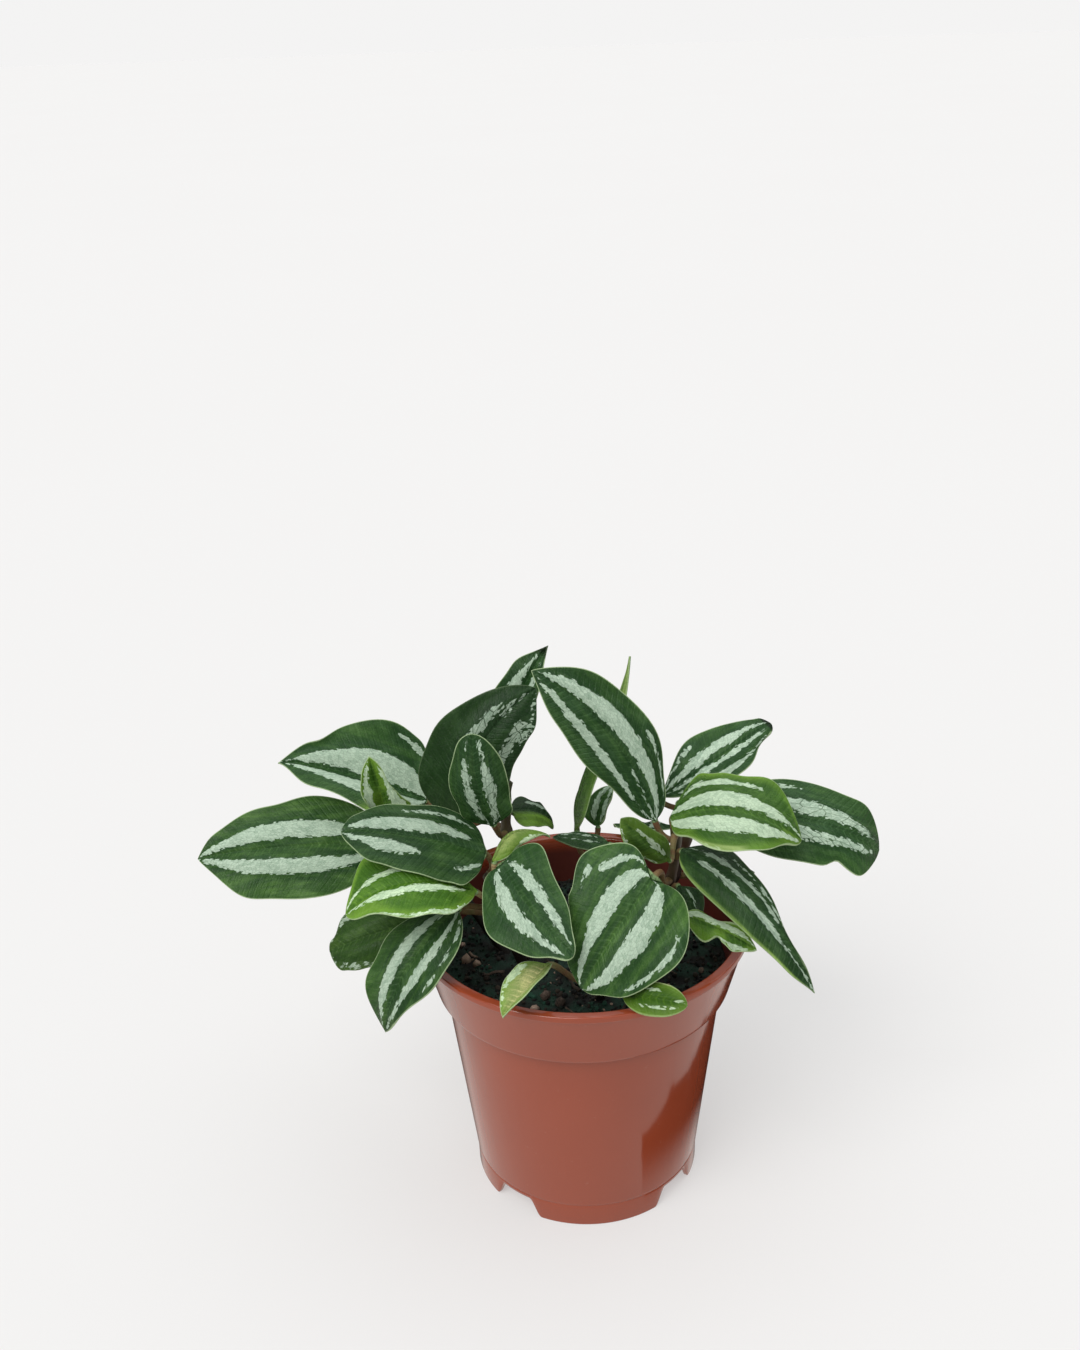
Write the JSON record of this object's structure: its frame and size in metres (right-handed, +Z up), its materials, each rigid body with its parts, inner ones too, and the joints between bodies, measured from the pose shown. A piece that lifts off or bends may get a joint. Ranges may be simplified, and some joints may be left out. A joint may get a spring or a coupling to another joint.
{
  "type": "potted peperomia",
  "caption": "Young peperomia with pointed, silver-striped green leaves on reddish stalks, growing in potting mix in a round plastic nursery pot with a wide collar and feet.",
  "frame": {"origin": "the middle of the floor space that the whole plant takes, on the surface that the pot stands on", "axes": "+Z up, -Y towards the side that the plant shows best, +X to the right of that side, along the plant's widest spread"},
  "size_m": [0.241, 0.158, 0.1993],
  "materials": {
    "pot": "glossy moulded plastic in a terracotta colour",
    "potting_mix": "loose dark peat with grit and specks of moss",
    "stem": "smooth, reddish brown, slightly glossy",
    "mature_leaf": "waxy gloss, dark green with silver bands and a pale margin",
    "young_leaf": "waxy gloss, bright green with pale bands"
  },
  "bodies": {
    "root": {"pot": "pot", "potting_mix": "potting_mix", "stem_left_front": "stem", "stem_left": "stem", "stem_left_back": "stem", "stem_right": "stem", "stem_right_back": "stem", "stem_back": "stem", "stem_front": "stem", "leaf_far_left": "mature_leaf", "leaf_upper_left": "mature_leaf", "leaf_folded_young": "young_leaf", "leaf_dark_upright": "mature_leaf", "leaf_oval_upright": "mature_leaf", "leaf_behind_oval": "mature_leaf", "leaf_mid_left": "mature_leaf", "leaf_bright_left": "young_leaf", "leaf_low_left": "mature_leaf", "leaf_drooping_left": "mature_leaf", "leaf_front_left": "mature_leaf", "leaf_edge_on": "young_leaf", "leaf_front_round": "mature_leaf", "leaf_young_right": "young_leaf", "leaf_long_right": "mature_leaf", "leaf_bright_right": "young_leaf", "leaf_far_right": "mature_leaf", "leaf_upper_right": "mature_leaf", "leaf_tall": "mature_leaf", "leaf_top": "mature_leaf", "leaf_profile": "mature_leaf", "leaf_back_small": "mature_leaf", "leaf_back_flat": "mature_leaf", "leaf_wavy_right": "young_leaf", "leaf_pale_front": "young_leaf", "leaf_young_front": "young_leaf", "leaf_dark_right": "mature_leaf", "leaf_rear_left_upper": "mature_leaf", "leaf_rear_left_mid": "mature_leaf", "leaf_rear_left_low": "mature_leaf", "leaf_rear_right_upper": "mature_leaf", "leaf_rear_right_mid": "mature_leaf", "leaf_rear_right_low": "mature_leaf", "leaf_rear_centre": "mature_leaf"}
  },
  "joints": []
}
